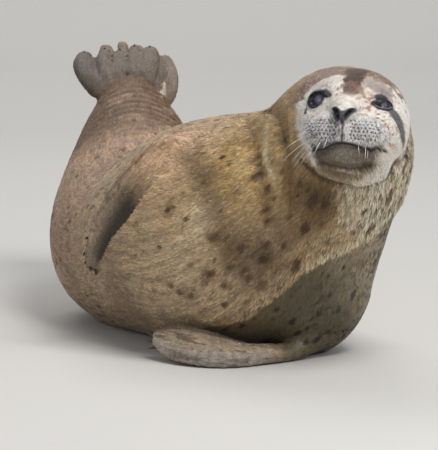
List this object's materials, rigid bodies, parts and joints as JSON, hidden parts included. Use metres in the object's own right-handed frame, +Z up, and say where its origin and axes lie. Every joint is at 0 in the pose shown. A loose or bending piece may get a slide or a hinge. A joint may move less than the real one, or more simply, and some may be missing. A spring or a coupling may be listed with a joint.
{
  "type": "harbor seal",
  "caption": "Young harbor seal lying on its left side, belly to the viewer, with head and hind flippers raised.",
  "frame": {"origin": "middle of the model's bounding footprint, on the floor it lies on", "axes": "+Z up; +Y from the face towards the hind flippers; +X towards the animal's left side of the face as it looks out along -Y"},
  "size_m": [0.489, 0.9208, 0.3994],
  "materials": {
    "coat": "short dense tan fur with small dark spots, slick where wet",
    "flipper": "short grey-brown fur over webbed digits",
    "eye": "wet, glossy, nearly black",
    "claw": "dark horn, semi-gloss"
  },
  "bodies": {
    "root": {"belly": "coat", "chest": "coat", "claw_fore_left_1": "claw", "claw_fore_left_2": "claw", "claw_fore_left_3": "claw", "claw_fore_left_4": "claw", "claw_fore_left_5": "claw", "claw_fore_right_1": "claw", "claw_fore_right_2": "claw", "claw_fore_right_3": "claw", "claw_fore_right_4": "claw", "claw_fore_right_5": "claw", "claw_hind_left_1": "claw", "claw_hind_left_2": "claw", "claw_hind_left_3": "claw", "claw_hind_left_4": "claw", "claw_hind_left_5": "claw", "claw_hind_right_1": "claw", "claw_hind_right_2": "claw", "claw_hind_right_3": "claw", "claw_hind_right_4": "claw", "claw_hind_right_5": "claw", "eye_left": "eye", "eye_right": "eye", "fore_flipper_left": "flipper", "fore_flipper_right": "flipper", "head": "coat", "hind_flipper_left": "flipper", "hind_flipper_right": "flipper", "hips": "coat", "neck": "coat", "tail": "flipper"}
  },
  "joints": []
}
